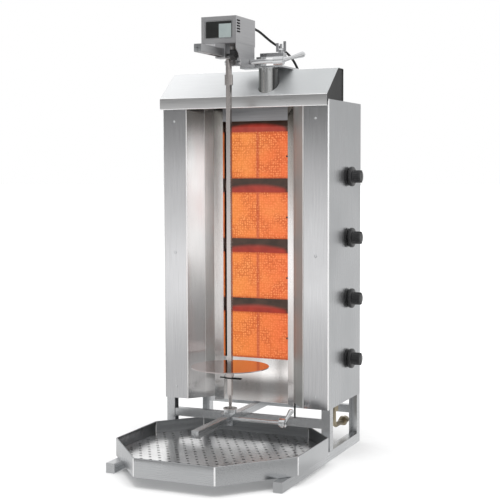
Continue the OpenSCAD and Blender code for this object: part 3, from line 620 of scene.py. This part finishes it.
def ring_stack(bm, rings, capped=True):
    """Joins rings of points into one skin, with a face over each end ring if capped."""
    made = [[bm.verts.new(p) for p in ring] for ring in rings]
    for a, b in zip(made, made[1:]):
        n = len(a)
        for k in range(n):
            bm.faces.new((a[k], a[(k + 1) % n], b[(k + 1) % n], b[k]))
    if capped:
        bm.faces.new(made[0])
        bm.faces.new(made[-1])


def dish(name, outline, steps):
    """A closed outline swept through (inset, z) steps, from its outer bottom to its inner one."""
    bm = bmesh.new()
    ring_stack(bm, [[plan(p, z) for p in moved(outline, d, closed=True)] for d, z in steps])
    return new_object(name, bm, smooth=50)


TURNING = {"X": ((0, 1, 0), (0, 0, 1)), "Y": ((0, 0, 1), (1, 0, 0)), "Z": ((1, 0, 0), (0, 1, 0))}


def lathe(bm, centre, axis, steps, sides, wobble=None):
    """(distance, radius) steps turned about an axis: X, Y or Z."""
    u, v = (Vector(c) for c in TURNING[axis])
    w = u.cross(v)
    rings = []
    for j, (d, r) in enumerate(steps):
        ring = []
        for k in range(sides):
            a = 2 * math.pi * k / sides
            rr = r + (wobble(j, k) if wobble else 0)
            ring.append(centre + (w * d + (u * math.cos(a) + v * math.sin(a)) * rr) / 1000)
        rings.append(ring)
    ring_stack(bm, rings)


def cut(obj, cutter):
    """Cuts one mesh object out of another and removes the cutter."""
    mod = obj.modifiers.new("cut", "BOOLEAN")
    mod.operation, mod.solver, mod.object, mod.use_self = "DIFFERENCE", "EXACT", cutter, True
    shape = obj.evaluated_get(bpy.context.evaluated_depsgraph_get())
    mesh = bpy.data.meshes.new_from_object(shape)
    obj.modifiers.clear()
    obj.data = mesh
    bpy.data.objects.remove(cutter)
    bm = bmesh.new()
    bm.from_mesh(mesh)
    bmesh.ops.remove_doubles(bm, verts=bm.verts, dist=1e-6)
    for f in bm.faces:
        f.smooth = True
    for e in bm.edges:
        e.smooth = len(e.link_faces) == 2 and e.calc_face_angle(0) < math.radians(40)
    bm.to_mesh(mesh)
    bm.free()


def blocks(name, boxes, cylinders=()):
    """Cutters: boxes by their corners, and upright or sideways cylinders."""
    bm = bmesh.new()
    for low, high in boxes:
        m = bmesh.ops.create_cube(bm, size=1)["verts"]
        a, b = at(*low), at(*high)
        for v in m:
            v.co = Vector([(a[k] + b[k]) / 2 + v.co[k] * (b[k] - a[k]) for k in range(3)])
    for centre, axis, length, r, sides in cylinders:
        lathe(bm, at(*centre), axis, [(-length / 2, r), (length / 2, r)], sides)
    return new_object(name, bm)


# ---------------------------------------------------------------- cabinet sheet metal

# millimetres, as in the part's source; FOLDs are the radii of bends
SHEET = 1.5
SHELL_FOLD, WING_FOLD, HOOD_FOLD = 3.0, 5.0, 2.6
HALF_W = 1000 * (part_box("side_panel_right")[1].x - ZERO.x)
DEPTH = 1000 * (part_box("side_panel_right")[1].y - ZERO.y)
Z0, Z1 = (1000 * p.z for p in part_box("side_panel_right"))
FRONT_TOP = 1000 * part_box("front_panel_right")[1].z
MOUTH = 1000 * (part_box("front_panel_right")[0].x - ZERO.x)
WING = [(MOUTH, 0), (171, 0), (136, 41), (119, 65)]
WING_TOP = 1000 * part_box("reflector_right")[1].z
KNOB_Y, KNOB_Z = 158, [753.5, 587, 420.5, 254]
KNOB_HOLE_R = 7
POST, POST_R = (66, 20), 26.5
HOOD_HEM, HOOD_FRONT, HOOD_RIDGE, HOOD_BACK = -10, -16, 73, 115
LIP_TOP, HOOD_TAIL = 967.5, 951.5    # heights where the lip turns into the slope and the back ends
SLOT_FROM, SLOT_TO, SLOT_H = 60, 180, 8
SLOT_Z, SLOT_STEP, SLOT_ROWS = 700, 26, 7
LOUVRE_R = 7
SCREW_X, SCREW_Z = 207, (906, 545, 170)
EDGE, USUAL_EDGE = 0.0003, 0.0004    # metres, the rounding of folded sheet and of other pieces


def mirror_x(points, side):
    return [(side * x, y) for x, y in points]


def make_shell(side, tag):
    """Front and side panel from one sheet, with a rounded corner."""
    path = mirror_x([(MOUTH, 0), (HALF_W, 0), (HALF_W, DEPTH)], side)
    shell = sheet("shell." + tag, path, side * SHEET, plan, Z0, Z1, SHELL_FOLD)
    above = ((side * (HALF_W - SHEET), -1, FRONT_TOP), (side * (MOUTH - 5), 3, Z1 + 5))
    low, high = ([f(a, b) for a, b in zip(*above)] for f in (min, max))
    holes = [((HALF_W, KNOB_Y, z), "X", 10, KNOB_HOLE_R, 24) for z in KNOB_Z] if side > 0 else []
    cut(shell, blocks("cutter", [(low, high)], holes))
    stand_for(shell, "side_panel_" + tag, "front_panel_" + tag, look="panel", more=("fold_highlight",))
    limit = at(0, SHEET + 0.1, 0).y
    mark(shell, "front", lambda f: f.material_index == 0 and f.center.y < limit)
    round_edges(shell, EDGE)


def make_reflector(side, tag):
    """An angled reflector. The left one mirrors the studio; the right one is a dim, half-diffuse
    grey, painted shade standing in for the darker things it mirrors.
    """
    path = mirror_x(WING, side)
    piece = sheet("reflector." + tag, path, -side * SHEET, plan, Z0, WING_TOP, WING_FOLD)
    look = "mirror" if side < 0 else "painted_dim_reflector"
    round_edges(stand_for(piece, "reflector_" + tag, look=look, more=("fold_highlight",)), EDGE)


def make_hood():
    """The hood: hemmed lip, slope with a round hole for the post, flat top and back."""
    low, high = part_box("hood")
    z0, z1 = 1000 * low.z, 1000 * high.z
    path = [(HOOD_HEM, z0), (HOOD_FRONT, z0), (HOOD_FRONT, LIP_TOP), (HOOD_RIDGE, z1),
            (HOOD_BACK, z1), (HOOD_BACK, HOOD_TAIL)]
    hood = sheet("hood.sheet", path, -SHEET, profile, -HALF_W, HALF_W, HOOD_FOLD)
    boxes = []
    for s in (-1, 1):
        ends = sorted((s * (HALF_W - SHEET - 0.5), s * (HALF_W + 1)))
        boxes.append(((ends[0], -1, z0 - 1), (ends[1], HOOD_BACK + 2, Z1 + 0.5)))
    post_hole = ((*POST, 1006), "Z", 90, POST_R + 1, 48)
    cut(hood, blocks("cutter", boxes, [post_hole]))
    stand_for(hood, "hood", more=("fold_highlight",))
    middle = at(0, 60, 985)

    def inner(f):
        return f.area > 1e-4 and abs(f.normal.x) < 0.5 and f.normal.dot(middle - f.center) > 0

    def lip(f):
        return f.area > 1e-4 and f.normal.y < -0.9 and f.center.y < middle.y - 0.07

    # painted shade on the hood's inside faces
    mark(hood, "hood_inside_shade", inner)
    # painted shade: the lip's front faces take the darker lip steel
    mark(hood, "lip", lip)
    round_edges(hood, EDGE)


def make_rear_cover():
    """The rear cover with its rows of slots, each with a louvre pressed inwards."""
    x = HALF_W - SHEET
    inside = DEPTH - SHEET
    cover = blocks("rear_cover.sheet", [((-x, inside, Z0), (x, DEPTH, Z1))])
    slots = [(s, SLOT_Z + SLOT_STEP * i) for s in (-1, 1) for i in range(SLOT_ROWS)]
    boxes = []
    for s, z in slots:
        x0, x1 = sorted((s * SLOT_FROM, s * SLOT_TO))
        boxes.append(((x0, DEPTH - 5, z), (x1, DEPTH + 5, z + SLOT_H)))
    cut(cover, blocks("cutter", boxes))
    round_edges(stand_for(cover, "rear_cover"), USUAL_EDGE)
    bm = bmesh.new()
    turns = [math.pi / 2 * k / 5 for k in range(6)]
    arc = [(inside - LOUVRE_R * math.sin(t), LOUVRE_R * math.cos(t)) for t in turns]
    for s, z in slots:
        rows = []
        # a louvre is shallow at its two ends
        ends = (SLOT_FROM, 0.25), (SLOT_FROM + 6, 1), (SLOT_TO - 6, 1), (SLOT_TO, 0.25)
        for x, push in ends:
            inner = [at(s * x, inside + (y - inside) * push, z + 0.6 + h) for y, h in arc]
            outer = [p + Vector((0, -0.0008, 0.0006)) for p in inner]
            rows.append(inner + outer[::-1])
        ring_stack(bm, rows)
    added(new_object("louvres", bm, smooth=50), "cabinet", "panel")


def make_screws():
    """Dome-headed sheet-metal screws with a socket."""
    head = [(0, 3.6), (-0.6, 3.6), (-1.3, 3.2), (-1.9, 2.4), (-2.2, 1.5), (-2.3, 1.3), (-1.4, 1.1)]
    bm = bmesh.new()
    for s in (-1, 1):
        for z in SCREW_Z:
            lathe(bm, at(SCREW_X * s, 0, z), "Y", head, 18)
    stand_for(new_object("screws", bm, smooth=50), "panel_screws")


for side, tag in ((-1, "left"), (1, "right")):
    make_shell(side, tag)
    make_reflector(side, tag)
make_hood()
make_rear_cover()
make_screws()

# ---------------------------------------------------------------- pan and tray

PAN = [(-110, -418), (110, -418), (256, -250), (256, -34), (160, 76), (-160, 76), (-256, -34),
       (-256, -250)]
PAN_Z0, PAN_Z1 = (1000 * p.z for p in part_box("drip_pan"))
TRAY_Z = 43.7                        # 0.3 under the part's, so a lifted tray clears the cross bar
HOLE_R, HOLE_STEP, ROW_STEP, HOLE_START = 4.2, 27, 23, -10
PIN, PIN_CLEAR = (92, -352), 9


def make_pan():
    """An open octagonal pan with rounded corners and a folded rim."""
    outline = rounded(PAN, 5, closed=True)
    z0, z1 = PAN_Z0, PAN_Z1
    steps = [(1.6, z0 + 0.2), (0.5, z0 + 0.6), (0, z0 + 1.6), (0, z1 - 1.2), (0.4, z1 - 0.3),
             (1.2, z1), (2.6, z1), (3.4, z1 - 0.4), (3.7, z1 - 1.2), (3.7, z1 - 8), (2.9, z1 - 8.4),
             (SHEET, z1 - 8.4), (SHEET, z0 + 2.4), (2.4, z0 + SHEET)]
    pan = stand_for(dish("drip_pan.sheet", outline, steps), "drip_pan")
    middle = at(60, -171, 0)

    def inner(f):
        return f.normal.to_2d().dot((middle - f.center).to_2d()) > 0.1 or f.normal.z > 0.9

    # painted shade on the pan's inner faces
    mark(pan, "shaded_pan_inside", inner)
    # painted highlight on the pan's small rounded corner faces
    mark(pan, "fold_highlight", lambda f: abs(f.normal.z) < 0.2 and f.area < 0.0002 and f.normal.y < 0.1)


def make_tray():
    """The perforated tray: an upturned dish with staggered holes."""
    outline = moved(rounded(PAN, 8, closed=True), 5, closed=True)
    z0 = PAN_Z0 + SHEET
    steps = [(2.2, TRAY_Z - SHEET), (SHEET, TRAY_Z - 2.2), (SHEET, z0), (0, z0), (0, TRAY_Z - 2),
             (0.6, TRAY_Z - 0.6), (2, TRAY_Z)]
    tray = dish("perforated_tray.sheet", outline, steps)
    edge = moved(rounded(PAN, 20, closed=True), 16, closed=True)

    def inside(x, y):
        """True left of every side, and so within the outline."""
        sides = zip(edge, edge[1:] + edge[:1])
        return all((b.x - a.x) * (y - a.y) - (b.y - a.y) * (x - a.x) > 0 for a, b in sides)

    holes = []                       # enough rows and columns to cover the whole tray
    for row in range(-20, 6):
        for col in range(-10, 11):
            x = HOLE_STEP * col + HOLE_STEP / 2 * (row % 2)
            y = ROW_STEP * row + HOLE_START
            if inside(x, y) and (Vector((x, y)) - Vector(PIN)).length > PIN_CLEAR:
                holes.append(((x, y, TRAY_Z - 1), "Z", 8, HOLE_R, 10))
    cut(tray, blocks("cutter", [], holes))
    bm = bmesh.new()
    bm.from_mesh(tray.data)
    pin = [(0, 6.5), (0.8, 6.3), (1.2, 4.5), (13, 4.5), (15, 3.8), (16, 2.2)]
    lathe(bm, at(*PIN, TRAY_Z), "Z", pin, 20)
    bm.to_mesh(tray.data)
    bm.free()
    stand_for(tray, "perforated_tray")


make_pan()
make_tray()

# ---------------------------------------------------------------- knobs, plugs and plate


def make_knob(i):
    """A flanged knob with a fluted grip, a pointer bar and a pale mark."""
    node = "gas_knob_%d" % (i + 1)
    low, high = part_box(node)
    x0, x1 = (1000 * (p.x - ZERO.x) - HALF_W for p in (low, high))
    centre = at(HALF_W, KNOB_Y, KNOB_Z[i])
    flange = x0 + 9
    # (distance from the side panel, radius)
    steps = [(x0, 4.05), (x0, 26), (x0 + 0.4, 26.8), (x0 + 1.2, 27), (flange - 3, 27),
             (flange - 1, 26), (flange, 24), (flange + 0.6, 17.6), (flange + 2, 16.8), (x1 - 6, 16),
             (x1 - 2.5, 15.6), (x1 - 1, 14.6), (x1 - 0.6, 12)]
    flutes = {7: 0.2, 8: 0.9, 9: 0.9, 10: 0.4}      # depth of the grip's flutes, by step
    bm = bmesh.new()
    lathe(bm, centre, "X", steps, 72, wobble=lambda j, k: -flutes.get(j, 0) * (k % 4 in (0, 1)))
    half, reach, back = 4.0, 17.2, x0 + 10
    bar = [(-half, -reach), (half, -reach), (half * 0.8, reach), (-half * 0.8, reach)]
    outline = rounded(bar, 1.8, closed=True)
    ring_stack(bm, [[centre + Vector((x, p.x * s, p.y * s)) / 1000 for p in outline]
                    for x, s in ((back, 1.0), (x1 - 1.2, 0.98), (x1 - 0.3, 0.95), (x1, 0.88))])
    stand_for(new_object(node + ".fine", bm), node)
    bm = bmesh.new()
    line = rounded([(-0.8, 5), (0.8, 5), (0.8, 14.6), (-0.8, 14.6)], 0.5, closed=True)
    ring_stack(bm, [[centre + Vector((x, p.x, p.y)) / 1000 for p in line]
                    for x in (x1 - 0.6, x1 - 0.05)])
    added(new_object("knob_mark_%d" % (i + 1), bm), BODY_OF[node], "mark")


def make_plug(name, y, z, face, look):
    """A square end plug with a raised cross, facing along Y by face: -1 or 1."""
    bm = bmesh.new()
    for w, h, d in ((9.6, 9.6, 0.5), (9.0, 1.4, 1.0), (1.4, 9.0, 1.0)):
        outline = rounded([(-w, -h), (w, -h), (w, h), (-w, h)], 1.2, closed=True)
        ring_stack(bm, [[at(p.x * s, y + face * q, z + p.y * s) for p in outline]
                        for q, s in ((-0.4, 1.0), (d * 0.6, 1.0), (d, 0.96))])
    added(new_object(name, bm), "cabinet", look)


def make_data_plate():
    """The motor's blank plate in the housing's recessed front, and the rim round it."""
    low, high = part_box("motor_housing")
    inset = 0.0125                   # metres, the housing's rim round the plate
    x0, x1, z0, z1 = low.x + inset, high.x - inset, low.z + inset, high.z - inset
    face = low.y + 0.002
    corners = [(x0, z0), (x1, z0), (x1, z1), (x0, z1)]
    outline = rounded([(1000 * x, 1000 * z) for x, z in corners], 2.0, closed=True)

    def rings(steps):
        return [[Vector((p.x / 1000, y, p.y / 1000)) for p in moved(outline, d, closed=True)]
                for y, d in steps]

    plate = bmesh.new()
    ring_stack(plate, rings([(face, 0), (face - 0.0007, 0), (face - 0.0009, 0.3)]))
    added(new_object("data_plate", plate), "motor_unit", "data_plate")
    rim = bmesh.new()
    ring_stack(rim, rings([(face, 0.2), (face, -1.5), (face - 0.0012, -1.3), (face - 0.0012, 0.4),
                           (face - 0.0003, 0.6)]), capped=False)
    added(new_object("plate_rim", rim), "motor_unit", "bright")


for i in range(BURNERS):
    make_knob(i)
arm_low, arm_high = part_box("upper_arm")
lower_low, lower_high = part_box("lower_arm")
arm_z, lower_z = (arm_low.z + arm_high.z) / 2, (lower_low.z + lower_high.z) / 2
for name, y, z, face, look in (("arm_plug_front", arm_low.y, arm_z, -1, "can"),
                               ("arm_plug_back", arm_high.y, arm_z, 1, "can"),
                               ("low_arm_plug", lower_low.y, lower_z, -1, "frame")):
    make_plug(name, 1000 * (y - ZERO.y), 1000 * z, face, look)
make_data_plate()

# ---------------------------------------------------------------- the other nodes, edges broken

EDGES = {                            # metres, where the rounding isn't the usual one
    "base_rail_left": 0.0008, "base_rail_right": 0.0008, "front_uprights": 0.0008,
    "rear_uprights": 0.0008, "upper_arm": 0.0014, "lower_arm": 0.0014, "motor_housing": 0.0007,
    "motor_bracket": 0.0006, "bearing_block": 0.0010, "arm_knob": 0.0010, "post": 0.0008,
    "post_head": 0.0008, "ceramic_plates": 0.0010, "motor_pinion": 0.0001, "output_gear": 0.0001,
    "spring_clip": 0.0002,
}
for node in sorted(set(NODES) - BUILT):
    piece = refine(node, EDGES.get(node, USUAL_EDGE))
    if node == "burner_frame":
        # painted shade: the strip above the burners, in shade under the hood, takes the darker
        # inner steel
        mark(piece, "inner", lambda f: abs(f.center.x) < 0.09 and f.center.z > 0.85)

# ---------------------------------------------------------------- stage and light

# (metres away, brightness) of the floor as the sheet metal mirrors it
FLOOR_AHEAD = [(0.2, 0.72), (0.8, 0.76), (1.6, 0.74), (2.7, 0.90), (4.4, 1.28), (9.8, 1.08),
               (20, 0.95), (50, 0.85)]
FLOOR_ASIDE = [(0.2, 0.66), (0.8, 0.52), (1.6, 0.38), (2.5, 0.80), (3.7, 1.15), (8.0, 1.02),
               (28, 0.62), (50, 0.55)]
FLOOR_RIGHT = [(0.2, 0.66), (0.8, 0.46), (1.6, 0.28), (3.0, 0.30), (4.6, 0.45), (8.0, 1.05),
               (28, 1.25), (50, 1.20)]
FLOOR_BEHIND = [(0.2, 0.84), (4.0, 0.82), (50, 0.76)]
NEAR = 0.3                           # metres added to a distance before its power of two is taken
LEVELS = (-2.0, 6.0)                 # the powers of two at a floor ramp's two ends

# (upward part of the direction, brightness) of the studio
SKY_LEFT = [(0.0, 0.80), (0.018, 0.60), (0.035, 0.40), (0.045, 0.14), (0.12, 0.22), (0.3, 0.42),
            (0.6, 0.85), (1.0, 0.95)]
SKY_ASIDE = [(0.0, 0.50), (0.02, 0.26), (0.05, 0.14), (0.075, 0.50), (0.12, 0.60), (0.3, 0.60),
             (0.6, 0.85), (1.0, 0.95)]
SKY_RIGHT = [(0.0, 1.20), (0.018, 0.80), (0.036, 0.14), (0.08, 0.20), (0.15, 0.60), (0.4, 0.80),
             (1.0, 0.95)]
SKY_BEHIND = [(0.0, 0.74), (0.05, 0.58), (0.12, 0.66), (0.2, 0.95), (0.35, 1.0), (0.6, 0.90),
              (1.0, 0.95)]
LOWEST = -0.1                        # the upward part at which a studio ramp starts

# parts of the direction along X between which one side's brightness turns into the next one's
TO_ASIDE, TO_RIGHT = (0.0, 0.45), (0.72, 0.92)


def ramp(nt, value, stops):
    """A grey ramp; stops are (place from 0 to 1, brightness)."""
    n = put(nt, "ValToRGB", {"Fac": value})
    while len(n.color_ramp.elements) < len(stops):
        n.color_ramp.elements.new(0.5)
    for e, (place, v) in zip(n.color_ramp.elements, stops):
        e.position, e.color = place, (v, v, v, 1)
    return n.outputs[0]


def make_floor():
    """A plain pale floor that brightens with distance, like a lit studio sweep."""
    bm = bmesh.new()
    bmesh.ops.create_grid(bm, x_segments=1, y_segments=1, size=60)
    floor = new_object("floor", bm)
    m, nt, bsdf = start("floor", Roughness=0.9, Emission_Strength=1.0)
    grain = remap(nt, noise(nt, (30, 30, 30), 2.0), 0.3, 0.7)
    nt.links.new(mix(nt, grain, (0.86, 0.86, 0.86), (0.88, 0.88, 0.88)), bsdf.inputs["Base Color"])
    place = place_in(nt)
    far = put(nt, "VectorMath", {0: place}, operation="LENGTH").outputs["Value"]
    behind = remap(nt, along(nt, Y), 0.2, 1.5, 0.05, 0.5, smooth=True)
    around = remap(nt, far, 1.6, 3.4, 0.0, 0.7, smooth=True)
    lift = calc(nt, "MAXIMUM", behind, around)
    grey = put(nt, "CombineXYZ", {0: lift, 1: lift, 2: lift}).outputs[0]
    nt.links.new(grey, bsdf.inputs["Emission Color"])
    # what polished sheet metal mirrors of the floor: darker close by, brightest some metres away
    first, last = LEVELS
    level = remap(nt, calc(nt, "LOGARITHM", calc(nt, "ADD", far, NEAR), 2.0), first, last)

    def zone(stops):
        places = [((math.log2(d + NEAR) - first) / (last - first), v) for d, v in stops]
        return ramp(nt, level, places)

    zones = FLOOR_AHEAD, FLOOR_ASIDE, FLOOR_RIGHT, FLOOR_BEHIND
    ahead, aside, right, back = (zone(z) for z in zones)
    turn = put(nt, "VectorMath", {0: place}, operation="NORMALIZE").outputs[0]
    turn = put(nt, "SeparateXYZ", {"Vector": turn})
    glow = mix(nt, remap(nt, turn.outputs[X], *TO_ASIDE, smooth=True), ahead, aside)
    glow = mix(nt, remap(nt, turn.outputs[X], *TO_RIGHT, smooth=True), glow, right)
    glow = mix(nt, remap(nt, turn.outputs[Y], -0.1, 0.3), glow, back)
    mirrored = put(nt, "Emission", {"Color": glow}).outputs[0]
    glossy = put(nt, "LightPath").outputs["Is Glossy Ray"]
    both = put(nt, "MixShader", {0: glossy, 1: bsdf.outputs[0], 2: mirrored})
    nt.links.new(both.outputs[0], nt.nodes["Material Output"].inputs["Surface"])
    floor.data.materials.append(m)


def make_world():
    """A studio: white behind, darker just above the horizon in front, bright overhead."""
    world = bpy.data.worlds.new("studio")
    bpy.context.scene.world = world
    world.use_nodes = True
    nt = world.node_tree
    ray = put(nt, "SeparateXYZ", {"Vector": put(nt, "TexCoord").outputs["Generated"]})
    up = ray.outputs[Z]

    def sky(stops):
        places = [((z - LOWEST) / (1 - LOWEST), v) for z, v in stops]
        return ramp(nt, remap(nt, up, LOWEST, 1.0), places)

    left, aside, right, back = (sky(s) for s in (SKY_LEFT, SKY_ASIDE, SKY_RIGHT, SKY_BEHIND))
    colour = mix(nt, remap(nt, ray.outputs[X], *TO_ASIDE, smooth=True), left, aside)
    colour = mix(nt, remap(nt, ray.outputs[X], *TO_RIGHT, smooth=True), colour, right)
    colour = mix(nt, remap(nt, ray.outputs[Y], -0.1, 0.4, smooth=True), colour, back)
    lit = put(nt, "Background", {"Color": colour, "Strength": 1.0})
    seen = put(nt, "Background", {"Color": (1, 1, 1, 1), "Strength": 1.0})
    both = put(nt, "MixShader", {0: put(nt, "LightPath").outputs["Is Camera Ray"]})
    nt.links.new(lit.outputs[0], both.inputs[1])
    nt.links.new(seen.outputs[0], both.inputs[2])
    nt.links.new(both.outputs[0], nt.nodes["World Output"].inputs["Surface"])


def make_light(name, where, target, size, power):
    """A square area light, in metres and watts, that polished steel doesn't mirror."""
    data = bpy.data.lights.new(name, "AREA")
    data.shape, data.size, data.energy = "SQUARE", size, power
    obj = bpy.data.objects.new(name, data)
    bpy.context.collection.objects.link(obj)
    obj.location = where
    obj.rotation_euler = (Vector(target) - Vector(where)).to_track_quat("-Z", "Y").to_euler()
    obj.visible_glossy = False


make_floor()
make_world()
make_light("top", (0.3, -0.6, 3.4), (0, 0, 0.2), 3.0, 75)
bpy.context.scene.view_settings.view_transform = "Standard"
